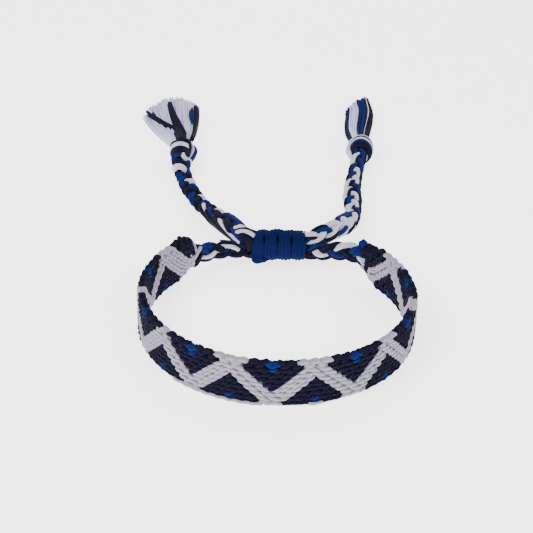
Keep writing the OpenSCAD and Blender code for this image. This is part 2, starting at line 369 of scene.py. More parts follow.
def band_knot(c, r, face):
    """Two turns of yarn side by side, and the string that they hide."""
    piece = band[knot_colour(c, r)]
    s0 = column_at(c) + rng.normal(0, 0.05)
    h0 = (r + 1) * STEP_H + rng.normal(0, 0.04)
    falling = (c + r) % REPEAT in ZIGZAG
    lean = math.radians(OUTER_LEAN[falling]) + rng.normal(0, 0.09)
    if face < 0:
        # On the inner face the knots lie along the nearer line of the zigzag
        falls, rises = (abs((c + k * r) % REPEAT - HALF) for k in (1, -1))
        lean = math.radians(INNER_LEAN[falls < rises]) + rng.normal(0, 0.06)
    t = np.linspace(-1, 1, 6)
    for k in (-1, 1):
        half = TURN_HALF[face] + rng.normal(0, 0.05)
        s = s0 - k * TURN_SHIFT + t * half * math.cos(lean)
        h = np.maximum(h0 + k * TURN_LIFT + t * half * math.sin(lean), TURN_LOWEST)
        n = face * (TURN_OUT + TURN_BULGE * np.sqrt(np.maximum(0, 1 - t * t)) + rng.normal(0, 0.03))
        piece.tube(on_band(s, h, n), TURN_R[face] * plump(t, 0.72), sides=7, lay=1.9, caps=False)
    t = t[::2]
    h = h0 + t * (0.35 if falling else -0.35)
    line = on_band(s0 + t * 0.95, h, face * np.array([0.2, 0.34, 0.2]))
    piece.tube(line, [0.45, 0.66, 0.45], sides=6, caps=False)


# The loops along the edges, two side by side
EDGE_IN, EDGE_OUT = 0.42, 0.42  # inside the edge, and out from the middle of the thickness
EDGE_HALF = 1.5  # half their length
EDGE_RISE, EDGE_DIP = 0.36, 0.62  # of their middle and of their ends
EDGE_YARN = {NAVY: (0.5, 0), BLUE: (0.54, 0.3), WHITE: (0.5, 0)}  # radius, how much lower


def edge_loop(c):
    """Where the outer string turns from one knot to the next: on the upper edge in an even
    column, and on the lower edge in an odd one."""
    edge, r, base = (1, LINES - 1, BAND_W - EDGE_IN) if c % 2 == 0 else (-1, 0, EDGE_IN)
    before, after = (knot_colour(c + k, r) for k in (-1, 1))
    if before == after == WHITE:
        parts = [(WHITE, -1, 1)]
    elif after == BLUE and edge > 0:
        parts = [(BLUE, -0.15, 1.1), (NAVY, -1, 0.15)]
    elif before == BLUE and edge > 0:
        parts = [(BLUE, -1.1, 0.15), (NAVY, -0.15, 1)]
    elif WHITE in (before, after):
        parts = [(NAVY if rng.random() < 0.6 else WHITE, -1, 1)]
    else:
        parts = [(NAVY, -1, 1)]
    rise = EDGE_RISE + rng.normal(0, 0.07)
    for col, t0, t1 in parts:
        t = np.linspace(t0, t1, 6)
        rad, drop = EDGE_YARN[col]
        h = base + edge * ((rise - drop) * (1 - t * t) - EDGE_DIP * t * t)
        h = np.maximum(h, rad + BRAID_GAP)
        for n in (EDGE_OUT, -EDGE_OUT):
            line = on_band(column_at(c) + t * EDGE_HALF, h, n * plump(t, 0.7))
            band[col].tube(line, rad, sides=7, lay=2.0, caps=False)


for c in COLUMNS:
    for r in range(LINES):
        if (c - r) % 2 == 0:
            for face in (1, -1):
                band_knot(c, r, face)
for c in COLUMNS:
    edge_loop(c)

# A white yarn carried along the lower edge shows in two places. It weaves in and out between
# the edge loops
CARRIED = ((-24.5, -2.5), (7.2, 10.4))
CARRIED_OUT, CARRIED_WEAVE, CARRIED_R = 1.02, 0.12, 0.38
for s0, s1 in CARRIED:
    s = np.arange(s0, s1, 0.35)
    n = CARRIED_OUT + CARRIED_WEAVE * np.cos((s - S_APEX) * math.pi / STEP_S)
    band[WHITE].tube(on_band(s, EDGE_IN, n), CARRIED_R, sides=7, lay=2.0)

# At both ends the strings are tied off in navy knots, given as (along the band, height above
# the table, out from the middle, radius): a lump at the left and a square end at the right
LEFT_LUMP = [
    (-70.3, 10.6, 0.1, 0.75), (-72.4, 11.3, -0.2, 0.8), (-73.4, 11.05, 0.3, 0.8), (-73.9, 11.0, -0.5, 0.8),
    (-74.8, 10.6, 0.1, 0.85), (-75.6, 10.1, -0.2, 0.85), (-76.3, 9.2, 0.1, 0.85), (-76.8, 8.2, 0.0, 0.8),
    (-71.6, 9.7, -0.8, 0.75), (-71.6, 9.9, 0.6, 0.75), (-72.3, 10.6, 0.6, 0.8), (-72.3, 10.4, -0.8, 0.8),
    (-73.8, 10.1, 0.8, 0.85), (-73.8, 10.0, -0.85, 0.85), (-75.0, 9.5, 0.8, 0.85), (-75.0, 9.4, -0.8, 0.85),
    (-73.0, 8.9, -0.95, 0.8), (-74.4, 8.5, 0.9, 0.85), (-74.4, 8.5, -0.95, 0.85), (-75.8, 8.3, -0.8, 0.8),
    (-75.8, 8.3, 0.8, 0.8), (-75.2, 7.5, -0.9, 0.7), (-75.8, 7.5, 0.9, 0.7),
]
RIGHT_TOP = [
    (72.6, 10.1, 0.0, 0.75), (73.6, 10.2, 0.1, 0.8), (74.7, 10.2, 0.0, 0.8), (75.8, 10.1, 0.1, 0.8),
    (76.7, 9.6, 0.0, 0.8),
]
RIGHT_FACE = [(73.4, 9.4, 0.6, 0.75), (74.6, 9.2, 0.65, 0.8), (75.8, 9.0, 0.65, 0.8), (76.6, 8.4, 0.5, 0.75)]


def tie(s0, z0, n0, rad):
    """A short navy knot that leans up or down a little along the band."""
    t = np.linspace(-1, 1, 7)
    lean = rng.normal(0.35, 0.25) * (1 if s0 < 0 else -0.5)
    h = BAND_W / 2 + (z0 - mid_height(s0) + 0.75 * lean * t) / width_share(s0)
    n = (n0 + 0.25 * (1 - t * t) * np.sign(n0)) / thickness_share(s0)
    band[NAVY].tube(on_band(s0 + 0.65 * t, h, n), rad * plump(t, 0.66), lay=1.9)


for s0, z0, n0, rad in LEFT_LUMP + RIGHT_TOP:
    tie(s0, z0, n0, rad)
for face in (-1, 1):
    for s0, z0, n0, rad in RIGHT_FACE:
        tie(s0, z0, face * n0, rad)

# Yarns wrapped round the first of the closing braids, at places read off the photograph:
# yarn, radius and route. At the right end they come from a blue knob on top and slant down
END_WRAPS = [
    (WHITE, 0.42, [
        (-22.6, 24.6, 9.4), (-22.0, 23.8, 9.2), (-21.5, 23.2, 8.6), (-21.1, 22.8, 7.7), (-21.0, 22.9, 6.7),
        (-21.3, 23.6, 5.8),
    ]),
    (WHITE, 0.5, [
        (-19.9, 24.4, 7.3), (-20.1, 23.6, 7.1), (-20.5, 22.8, 6.7), (-21.1, 22.4, 5.6), (-21.8, 22.2, 4.5),
        (-22.6, 22.4, 3.2),
    ]),
    (NAVY, 0.5, [
        (-22.7, 23.2, 3.3), (-21.9, 22.6, 2.9), (-21.0, 22.5, 3.1), (-20.3, 22.9, 4.0), (-19.9, 23.9, 4.9),
    ]),
    (NAVY, 0.5, [
        (-22.7, 23.35, 3.8), (-21.9, 22.75, 3.4), (-21.0, 22.65, 3.6), (-20.3, 23.05, 4.5),
        (-19.9, 24.05, 5.4),
    ]),
    (BLUE, 0.48, [
        (22.2, 24.4, 10.0), (21.7, 23.8, 9.2), (20.7, 23.1, 8.5), (19.9, 23.0, 7.6), (19.6, 23.8, 6.8),
        (19.9, 24.9, 6.4),
    ]),
    (BLUE, 0.48, [
        (21.8, 25.0, 9.9), (20.9, 24.2, 9.4), (20.1, 23.6, 8.7), (19.4, 23.6, 8.0), (19.1, 24.4, 7.3),
        (19.5, 25.4, 6.9),
    ]),
    (BLUE, 0.48, [
        (22.4, 24.0, 9.6), (21.9, 23.5, 8.8), (21.1, 22.9, 8.0), (20.6, 23.1, 7.3), (20.6, 24.2, 6.6),
    ]),
]
KNOB = (21.7, 23.8, 10.15)
KNOB_TURNS = [(-0.5, 0.1, 0.1), (0.4, 0.0, 0.2), (0.1, 0.5, 0.4), (0.0, -0.3, -0.3)]  # from KNOB
KNOB_R = 0.8
for col, rad, points in END_WRAPS:
    band[col].tube(spline(points, 0.5), rad, lay=2.2)
for place in KNOB_TURNS:
    t = np.linspace(-1, 1, 6)
    line = np.add(KNOB, place) + t[:, None] * [0.35, -0.5 * place[0], 0.3]
    band[BLUE].tube(line, KNOB_R * plump(t, 0.75), lay=1.9)


def colour_at(s0, h0):
    """Colour of the knot that covers a place on the band."""
    c0 = round((s0 - S_APEX) / STEP_S)
    near = [(c, r) for r in range(LINES) for c in range(c0 - 2, c0 + 2) if (c - r) % 2 == 0]
    c, r = min(near, key=lambda q: (column_at(q[0]) - s0) ** 2 + ((q[1] + 1) * STEP_H - h0) ** 2)
    return knot_colour(c, r)


CORE_MARGIN = 0.6  # how far it ends before the band does
CORE_LOW, CORE_TOP = 0.62, 0.95  # how far it stays inside the lower and upper edge
CORE_DEPTH, CORE_EDGE_DEPTH = 0.42, 0.3  # half its thickness, and less at its edges


def band_core():
    """The core that the knots are tied round: rings across the band, closed at both ends. It
    is white under the white knots, in the band's darker copy of white that paints shade, and navy elsewhere."""
    core = Piece("band_core")
    s = np.linspace(-S_END + CORE_MARGIN, S_END - CORE_MARGIN, 233)
    levels = np.linspace(CORE_LOW, BAND_W - CORE_TOP, 15)
    heights = [*levels, *levels[::-1]]
    depths = [CORE_EDGE_DEPTH, *[CORE_DEPTH] * (len(levels) - 2), CORE_EDGE_DEPTH]
    depths += [-depth for depth in depths]
    rings = np.stack([on_band(s, h, n) for h, n in zip(heights, depths)], 1)
    k, sides = rings.shape[:2]
    core.points.append(rings.reshape(-1, 3))
    for i in range(k - 1):
        for j in range(sides):
            j2 = (j + 1) % sides
            core.faces.append([i * sides + j, (i + 1) * sides + j, (i + 1) * sides + j2, i * sides + j2])
            u0, u1, v0, v1 = j / sides, (j + 1) / sides, i / 2, (i + 1) / 2
            core.uvs.append([[u0, v0], [u0, v1], [u1, v1], [u1, v0]])
            over = colour_at((s[i] + s[i + 1]) / 2, (heights[j] + heights[j2]) / 2)
            core.materials.append(WHITE if over == WHITE else NAVY)
    for i, turn in ((0, 1), (k - 1, -1)):
        core.faces.append([i * sides + j for j in range(sides)][::turn])
        core.uvs.append([[0, i / 2]] * sides)
        core.materials.append(NAVY)
    return core


band_navy = band[NAVY].build("navy_cotton", [YARN[NAVY]])
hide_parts("band")
band[BLUE].build("blue_cotton", [YARN[BLUE]])
# The band's white yarns take the darker copy of white, which paints shade on them
band[WHITE].build("white_cotton", [SHADED_BAND_WHITE])
band_core().build("navy_cotton", [YARN[NAVY], YARN[BLUE], SHADED_BAND_WHITE], smooth=False)

# Braids have three strands of three or four yarns, given as (yarn, direction from the middle
# of the strand in degrees). One cord runs from the right end of the band to the left tassel,
# and the other crosses it
CORD_LEFT = [
    [(NAVY, 145), (WHITE, 55), (WHITE, -20)],
    [(NAVY, 160), (BLUE, 75), (BLUE, -10)],
    [(NAVY, 165), (NAVY, 78), (NAVY, -25)],
]
CORD_RIGHT = [
    [(NAVY, 172), (BLUE, 70), (BLUE, -20)],
    [(WHITE, 168), (WHITE, 100), (NAVY, 25), (NAVY, -25)],
    [(WHITE, 168), (WHITE, 100), (NAVY, 25), (NAVY, -25)],
]
CLOSING_LEFT = [
    [(BLUE, 172), (BLUE, 80), (NAVY, -10)],
    [(NAVY, 170), (WHITE, 92), (NAVY, 10)],
    [(NAVY, 170), (NAVY, 85), (WHITE, 5)],
]
TAIL_STRANDS = {-1: CORD_LEFT, 1: CORD_RIGHT}
CLOSING_STRANDS = {-1: CLOSING_LEFT, 1: CORD_LEFT}

# Where a yarn of a braid changes: (strand, yarn, from and to along the braid's line, new yarn)
TAIL_CHANGES = {
    -1: [
        (0, 1, 0, 21.5, NAVY), (0, 2, 0, 21.5, NAVY), (0, 1, 43.8, 49.8, NAVY), (0, 2, 43.8, 49.8, NAVY),
        (0, 0, 49.8, 55.3, WHITE), (0, 0, 55.3, 90, BLUE), (0, 1, 55.3, 90, BLUE), (0, 2, 55.3, 90, BLUE),
        (1, 0, 36, 90, BLUE),
    ],
    1: [
        (0, 2, 12, 20.5, WHITE), (0, 0, 12, 20.5, WHITE), (0, 1, 18.3, 21.5, WHITE), (1, 2, 16, 26, WHITE),
        (1, 3, 16, 26, WHITE), (2, 2, 14, 20, WHITE), (2, 3, 14, 20, WHITE), (2, 0, 61, 90, NAVY),
        (2, 1, 61, 90, BLUE),
    ],
}
CLOSING_CHANGES = {
    -1: [
        (2, 0, 3.5, 7.4, BLUE), (2, 1, 3.5, 7.4, BLUE), (0, 1, 8, 12.5, NAVY), (1, 1, 15.1, 99, NAVY),
        (2, 2, 15.1, 99, NAVY),
    ],
    1: [],
}

# Turns of the plait at distances from the sliding knot, set from the photograph
TAIL_TURNS = {
    -1: [
        (-5, -0.5), (0, -0.36), (8, -0.16), (16, 0.03), (23.6, 0.40), (30, 0.85), (37.2, 1.38), (48, 2.375),
        (58.6, 3.375), (75, 4.93),
    ],
    1: [(-5, -0.84), (0, -0.53), (85, 4.66)],
}
CLOSING_PITCH, CLOSING_PHASE = 13, 0.375  # length of a turn of the closing braids, and its part
CLOSING_START = {-1: 9.3, 1: 6.2}  # that they are at this far from the band

SPREAD, RISE = 1.34, 0.74  # how far the strands swing across and up
BUNDLE = 0.66  # from the middle of a strand to the middle of its yarns
YARN_R = 0.6
LINE_STEP = 0.55
IN_KNOT = 4.0  # how far the braids run on into the sliding knot
IN_KNOT_LINE = 4.3  # and how long a tail's line is there
IN_BAND = 2.0  # how far the closing braids begin inside the band


def braid(piece, line, turns, roll, share, strands, changes):
    """Strands plaited along a line. Turns counts the plait's repeats at each of its points,
    roll turns the plait about the line, and share is its thickness there."""
    along = lengths(line)
    t = unit(np.gradient(line, axis=0))
    level = unit(np.cross(t, [0, 0, 1.0]))
    cos, sin = np.cos(roll)[:, None], np.sin(roll)[:, None]
    across, up = cos * level + sin * np.cross(level, t), cos * np.cross(level, t) - sin * level
    uneven = np.interp(along, np.linspace(0, along[-1], 11), rng.normal(0, 1, 11))
    for k, strand in enumerate(strands):
        phase = 2 * math.pi * (turns + k / 3)
        x = SPREAD * np.sin(phase) * (1 + 0.07 * uneven)
        z = -RISE * np.sin(2 * phase)
        twist = 0.22 * np.sin(phase * 0.37 + k) + 0.1 * uneven
        for j, (col, degrees) in enumerate(strand):
            a = math.radians(degrees) + twist
            r = YARN_R * (1 + rng.normal(0, 0.04)) * (0.35 + 0.65 * share)
            p = line + across * ((x + BUNDLE * np.cos(a)) * share)[:, None]
            p += up * ((z + BUNDLE * np.sin(a)) * share)[:, None]
            p[:, 2] = np.maximum(p[:, 2], r + BRAID_GAP)
            tone = np.full(len(p), col)
            for strand_no, yarn_no, low, high, other in changes:
                if (strand_no, yarn_no) == (k, j):
                    tone[(along > low) & (along < high)] = other
            cuts = [0, *(np.flatnonzero(np.diff(tone)) + 1), len(p)]
            for start, stop in zip(cuts, cuts[1:]):
                part = slice(start, min(stop + 1, len(p)))
                if part.stop - start > 2:
                    piece.tube(p[part], r[part], tone[start])


# Yarns that lie loose on the tails near the sliding knot, at places read off the photograph:
# yarn, radius and route. The fat one thins out to its end
FAT = 0.8
LOOSE = {
    -1: [
        (NAVY, 0.66, [
            (-21, 52.7, 2.0), (-19, 48.9, 2.3), (-16.9, 44.5, 3.0), (-13.9, 36.1, 5.2), (-10.7, 30, 6.2),
            (-8.6, 29.3, 4.8),
        ]),
        (NAVY, 0.66, [
            (-19.8, 50.8, 2.9), (-17.8, 46.1, 3.6), (-15.5, 41.1, 4.2), (-12.7, 33.3, 6.0), (-9.9, 29, 6.4),
            (-8.3, 28.6, 5.5),
        ]),
        (WHITE, FAT, [
            (-17.2, 46.6, 4.9), (-15.8, 42.5, 5.8), (-13.9, 36.1, 6.7), (-11.4, 30.3, 7.0), (-9.9, 28.7, 6.5),
            (-8.4, 28.9, 5.2),
        ]),
        (BLUE, 0.6, [
            (-13.4, 38.8, 7.4), (-11.9, 33.3, 8.0), (-10.5, 30.3, 7.6), (-9.1, 29.1, 6.5), (-7.9, 29.5, 5.3),
        ]),
        (NAVY, 0.62, [
            (-11.6, 34.4, 8.6), (-10.0, 30.8, 8.6), (-8.5, 28.6, 8.3), (-7.4, 27.8, 7.0), (-6.9, 28.6, 5.2),
        ]),
        (NAVY, 0.62, [(-10.4, 32.4, 9.0), (-8.8, 29.2, 8.9), (-7.4, 27.8, 8.0), (-6.4, 27.8, 6.6)]),
        (NAVY, 0.6, [(-9.6, 30.6, 7.8), (-8.4, 28.8, 7.2), (-7.7, 28.2, 6.0), (-7.4, 29.0, 4.4)]),
        (WHITE, 0.58, [
            (-11.6, 34.2, 8.3), (-11.0, 32.7, 8.9), (-10.2, 32.2, 9.6), (-9.3, 31.6, 9.8), (-8.5, 31.8, 8.8),
        ]),
        (NAVY, 0.5, [
            (-10.6, 33.0, 8.6), (-9.4, 31.0, 9.5), (-8.3, 30.4, 9.8), (-7.0, 30.3, 9.4), (-5.8, 30.6, 8.2),
        ]),
        (WHITE, 0.6, [
            (-11.2, 32.6, 8.0), (-10.7, 31.2, 8.4), (-9.7, 30.3, 9.2), (-8.1, 29.2, 9.7), (-6.8, 28.8, 9.2),
            (-5.6, 29.2, 8.0),
        ]),
    ],
    1: [
        (NAVY, 0.6, [
            (14.8, 40.2, 7.2), (15.6, 42.6, 7.3), (17.2, 47.1, 6.0), (19.6, 53.2, 3.9), (21.2, 55.8, 2.6),
        ]),
        (BLUE, 0.6, [
            (15.2, 39.6, 7.4), (16.1, 42.0, 7.6), (18.0, 46.9, 6.2), (20.3, 52.8, 4.1), (21.6, 55.2, 2.9),
        ]),
        (BLUE, 0.58, [
            (16.3, 41.0, 7.3), (17.3, 44.2, 6.8), (19.0, 48.0, 5.6), (20.5, 51.8, 4.2), (21.4, 54.0, 3.2),
        ]),
    ],
}
# A blue yarn stands out in a loop from the left side of the sliding knot
BLUE_LOOP = [(-15.4, 29.4, 6.9), (-13.6, 29.3, 6.85), (-11, 29.2, 6.5), (-8.6, 29.0, 6.1), (-5.5, 29.4, 5.8)]


def tail_braid(side):
    """The braid from the sliding knot to the end knot, and its middle line."""
    piece = Piece("tail_" + SIDES[side] + "_braid")
    route = tail_route(side)
    inside = route[0] - [side * IN_KNOT, 0, 1.6]
    beyond = route[-1] + unit(route[-1] - route[-2]) * [3.5, 3.5, 0]
    line = spline(np.vstack([inside, route, beyond]), LINE_STEP)
    d = lengths(line) - IN_KNOT_LINE
    share = np.interp(d, [-4, 1, 7, 20, 60], [0.74, 0.86, 1.06, 1.04, 0.98])
    roll = -side * math.radians(62) * np.clip(1 - d / (17 if side < 0 else 27), 0, 1)
    table = np.array(TAIL_TURNS[side])
    turns = np.interp(d, table[:, 0], table[:, 1])
    turns = np.convolve(np.pad(turns, 6, mode="edge"), np.ones(13) / 13, "valid")
    braid(piece, line, turns, roll, share, TAIL_STRANDS[side], TAIL_CHANGES[side])
    for col, rad, points in LOOSE[side]:
        loose = spline(points, 0.5)
        u = np.linspace(0, 1, len(loose))
        thin = 1 - 0.6 * u if rad == FAT else 1
        piece.tube(loose, rad * thin * np.clip(0.35 + u * 4, 0.35, 1), col)
    o = piece.build("braid_cotton")
    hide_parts("tail_" + SIDES[side])
    return o, spline(route, 2.0)


def closing_braid(side):
    """The braid from the band's end to the sliding knot."""
    piece = Piece("closing_" + SIDES[side])
    before = on_band(side * (S_END - IN_BAND), BAND_W / 2, 0.0)
    start = on_band(side * S_END, BAND_W / 2, 0.0)
    end = np.array([FACE_X[side], SLIDE_Y, CLOSING_Z])
    head, inward = unit(start - before), np.array([-side, 0, 0])
    pull = 0.8 * np.linalg.norm(end - start)  # how firmly it keeps to those two directions
    u = np.linspace(0, 1, 9)[:, None]
    curve = start * (1 - ease(u)) + end * ease(u)
    curve += head * pull * u * (1 - u) ** 2 - inward * pull * u * u * (1 - u)
    line = spline(np.vstack([before, curve, end + [-side * IN_KNOT, 0, 1.0]]), LINE_STEP)
    d = lengths(line) - IN_BAND
    share = np.interp(d, [-2, 1, d[-1] - 7, d[-1] - 4, d[-1]], [0.8, 1, 1, 0.84, 0.75])
    roll = np.full(len(d), side * math.radians(78))
    turns = (d - CLOSING_START[side]) / CLOSING_PITCH + CLOSING_PHASE
    braid(piece, line, turns, roll, share, CLOSING_STRANDS[side], CLOSING_CHANGES[side])
    if side < 0:
        loop = spline(BLUE_LOOP, 0.5)
        piece.tube(loop, np.linspace(0.14, 0.62, len(loop)), BLUE)
        piece.tube(loop + [0.3, 0.5, -0.55], np.linspace(0.2, 0.5, len(loop)), BLUE)
    o = piece.build("braid_cotton")
    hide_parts("closing_braid_" + SIDES[side])


for side in SIDES:
    tail_braid(side)
    closing_braid(side)

# The sliding knot is wrapped in columns, given as (left edge, width, how far it leans over
# the top, extra height)
WRAP_COLUMNS = [(-6.5, 2.9, 1.2, 0.0), (-3.6, 3.4, 1.6, 0.55), (-0.2, 3.7, 1.5, 0.25), (3.5, 3.6, 0.3, 0.0)]
WRAPS = 4  # in each column
WRAP_DEPTH, WRAP_HEIGHT = 5.25, 6.15
WRAP_R = 0.53
COLUMN_GAP = 0.25
COLUMN_BULGE = 0.75
SQUARENESS = 2.5  # 2 is an ellipse
FILL_R, FILL_FLAT, FILL_MARGIN = 2.95, 0.84, 0.5  # the dark fill inside the wraps
# At the lower left the wrapping yarn ends in a lump of turns, each a little off the last
LUMP_TURNS, LUMP_R = 4, 0.62
LUMP_STEP = np.array([0.58, 0.1, 0.12])
LUMP = [
    (-5.6, 28.0, 5.6), (-6.3, 27.4, 3.9), (-6.1, 27.0, 2.6), (-5.3, 27.1, 2.05), (-4.5, 27.9, 2.3),
    (-4.2, 29.0, 2.8),
]
wraps = Piece("sliding_knot_wraps")


def wrap(x, off, depth, height, lean):
    """One closed turn of yarn round both cords, off from the middle x of its column. It leans
    to the right over the top and back, and the columns pull together at the upper front."""
    a = np.linspace(0, 2 * math.pi, 48, endpoint=False)
    y = np.sign(np.cos(a)) * np.abs(np.cos(a)) ** (2 / SQUARENESS) * depth / 2
    z = np.sign(np.sin(a)) * np.abs(np.sin(a)) ** (2 / SQUARENESS) * height / 2
    back = ease(np.clip((y + 1.6) / 3.2, 0, 1))
    pinch = 1 - 0.32 * np.exp(-(((a - 2.3) / 0.3) ** 2))
    line = np.stack([x + off * pinch + lean * back, SLIDE_Y + y, SLIDE_Z + z], -1)
    wraps.tube(line, WRAP_R, lay=2.2, closed=True)


for x0, width, lean, top in WRAP_COLUMNS:
    for i in range(WRAPS):
        off = (i - (WRAPS - 1) / 2) / WRAPS * (width - COLUMN_GAP)
        bulge = COLUMN_BULGE * (1 - (2 * off / width) ** 2)
        x = x0 + width / 2 + rng.normal(0, 0.02)
        height = WRAP_HEIGHT + bulge + top + rng.normal(0, 0.04)
        wrap(x, off, WRAP_DEPTH + bulge, height, lean)
fill = np.array([(FACE_X[side] - side * FILL_MARGIN, SLIDE_Y, SLIDE_Z) for side in SIDES])
wraps.tube(respace(fill, 2.0), FILL_R, 1, sides=20, lay=2.6, flat=FILL_FLAT)
for k in range(LUMP_TURNS):
    wraps.tube(spline(LUMP + k * LUMP_STEP, 0.5), LUMP_R, lay=2.2)
sliding = wraps.build("blue_cotton", [KNOT_BLUE, YARN[NAVY]])
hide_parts("sliding_knot")

# Rings of the end knots from the tail's side on: place along, radius, yarn radius, yarn
RINGS = {
    -1: [
        (-2.4, 1.6, 0.6, BLUE), (-1.4, 1.85, 0.64, NAVY), (-0.3, 2.25, 0.78, NAVY), (1.0, 2.45, 0.82, NAVY),
        (2.5, 2.5, 0.78, WHITE), (3.8, 2.6, 0.78, WHITE), (5.2, 2.75, 0.55, NAVY), (5.6, 2.0, 0.6, WHITE),
        (6.2, 1.7, 0.5, WHITE),
    ],
    1: [
        (0.2, 2.3, 0.66, NAVY), (1.0, 2.75, 0.72, NAVY), (2.1, 2.95, 0.7, BLUE), (3.4, 3.05, 0.66, WHITE),
        (4.5, 3.2, 0.5, NAVY), (5.4, 3.0, 0.6, WHITE), (6.4, 2.5, 0.6, WHITE),
    ],
}
# How the rings slope along the cord from side to side and from bottom to top, and their
# height as a share of their width. One ring, given by side and place, slopes more
RING_SLOPE = {-1: (-0.05, -0.75, 1.2), 1: (-0.22, 0.38, 1)}
STEEP_RING = {(-1, 5.2): -0.45}
RING_SHIFT = 0.35  # how far across they all sit
# Yarns on the outside of the end knots, at places read off the photograph, as (along,
# across, up) from the end of the tail
OUTER = {
    -1: [
        (WHITE, 0.55, [
            (6.4, 2.2, 1.2), (5.4, 3.4, 1.2), (3.4, 4.1, 1.0), (1.2, 3.9, 0.3), (-1.4, 3.0, -0.4),
            (-3.6, 2.0, -0.9), (-5, 1.0, -1.2),
        ]),
        (NAVY, 0.6, [
            (5.6, 1.0, 2.6), (4.9, 2.3, 2.8), (3.6, 3.1, 2.5), (1.8, 3.2, 1.9), (-0.2, 2.8, 1.2),
            (-1.4, 2.0, 0.6),
        ]),
        (BLUE, 0.8, [
            (6.2, 2.8, 0.5), (5.0, 4.3, 0.3), (2.8, 4.8, 0.1), (0.2, 4.3, -0.4), (-2.4, 3.2, -0.9),
            (-5.0, 2.0, -1.3), (-7, 1.0, -1.6),
        ]),
        (WHITE, 0.66, [
            (-2.8, 1.0, 2.0), (-4.5, 1.2, 1.7), (-5.6, 2.0, 1.3), (-5.4, 2.9, 0.8), (-4.8, 3.3, 0.0),
        ]),
        (NAVY, 0.55, [
            (-5.4, -1.8, -0.4), (-6.0, -1.5, 0.7), (-6.7, -0.4, 1.4), (-7.6, 0.8, 1.3), (-8.4, 1.8, 0.8),
            (-8.8, 2.4, -0.4),
        ]),
        (BLUE, 0.55, [(-5.8, 2.6, 0.8), (-7.2, 2.9, 0.7), (-8.8, 2.8, 0.3), (-10.4, 2.0, -0.4)]),
        (WHITE, 0.5, [
            (-9.4, -1.4, -1.0), (-9.8, -1.0, 0.1), (-10.4, -0.3, 0.6), (-10.7, 0.6, 0.7), (-10.9, 1.2, 0.2),
            (-10.8, 1.5, -0.6),
        ]),
        (WHITE, 0.7, [
            (-8.4, -1.6, -1.0), (-8.8, -1.3, 0.3), (-9.6, -0.6, 1.0), (-10.0, 0.5, 1.1), (-10.3, 1.4, 0.5),
            (-10.2, 1.8, -0.6),
        ]),
    ],
    1: [
        (WHITE, 0.62, [
            (8, -2.2, 1.4), (6, -3.3, 1.0), (3.6, -3.6, 0.4), (1.2, -3.0, -0.4), (-1.2, -1.8, -0.8),
            (-3.2, -1.0, -1.0),
        ]),
        (WHITE, 0.55, [
            (8, -2.9, 0.2), (5.6, -3.9, -0.4), (3, -3.9, -1.2), (0.4, -2.8, -1.6), (-2, -1.7, -1.7),
        ]),
        (WHITE, 0.58, [(0.6, 1.5, 0.4), (-0.8, 2.0, -0.2), (-2.2, 1.9, -0.9), (-3.6, 1.3, -1.3)]),
    ],
}
# Outline of the tassels: (along, across) down the left and right edges, and how far each
# part reaches along, from the left edge (0) to the right (1)
FAN = {
    -1: {
        "left": [(6, -1.8), (10.6, -3.0), (17.2, -5.2), (24, -8.0), (31.5, -10.4), (41, -12.4), (52, -13.5)],
        "right": [(6, 2.2), (13.6, 4.1), (21, 5.3), (29.6, 6.2), (46, 6.6), (52, 6.6)],
        "reach": [(0, 37.0), (0.15, 42.6), (0.4, 48.4), (0.65, 50.2), (0.88, 47.8), (1, 45.0)],
    },
    1: {
        "left": [(6, -2.6), (14.3, -4.4), (20, -5.9), (27, -6.7), (37, -7.2), (42, -8.3), (54, -9.6)],
        "right": [(6, 2.0), (12, 1.2), (20, 1.5), (30, 1.9), (38, 1.6), (51, -0.7), (54, -1.2)],
        "reach": [(0, 39.4), (0.2, 41.6), (0.45, 45.6), (0.78, 49.0), (0.9, 50.8), (1, 44.0)],
    },
}
# Number of yarns, thickness of the layer and how unequal they are in length
TASSEL = {-1: (420, 2.4, 1.6), 1: (300, 3.0, 1.0)}
TASSEL_START = 5.0
TASSEL_YARN_R, LOCK_YARN_R, THREAD_R = 0.2, 0.45, 0.4
# Three navy locks on top of the left tassel, read off the photograph: number of yarns,
# and (along, across, width) down the middle of the lock
LOCKS = {
    -1: [
        (5, [
            (7, 0.8, 1.6), (14, 0.4, 1.6), (18, -0.4, 1.4), (21.4, -1.6, 1.2), (25.3, -4.6, 1.0),
            (30, -7.7, 0.9), (34.4, -10.7, 1.1),
        ]),
        (9, [
            (7, 0.7, 2.4), (12, 0.5, 2.9), (17, 0.2, 3.5), (25.3, -0.8, 2.4), (33.2, -2.1, 1.5),
            (42.4, -3.2, 1.0),
        ]),
        (4, [
            (9, 3.8, 0.8), (12, 4.1, 0.8), (15.3, 4.5, 0.8), (23.7, 5.2, 1.0), (31.6, 5.7, 1.2),
            (40.4, 5.6, 1.3),
        ]),
    ],
    1: [],
}
# Blue threads on it: how far across the fan, from and to along, height above the table
BLUE_THREADS = {
    -1: [
        (0.86, 27, 39, 2.9), (0.885, 26, 40, 2.8), (0.835, 29, 37, 2.9), (0.14, 31, 35.5, 3.0),
        (0.16, 30, 34.5, 3.0),
    ],
    1: [],
}


def beyond_tail(side):
    """Gives the function for places by (along, across, up) from the end of the tail."""
    route = tail_route(side)
    end = route[-1]
    head = unit((end - route[-2]) * [1, 1, 0])
    across, up = np.array([head[1], -head[0], 0]), np.array([0, 0, 1.0])

    def at(along, x, z):
        along, x, z = np.broadcast_arrays(along, x, z)
        return end + along[..., None] * head + x[..., None] * across + z[..., None] * up

    return at


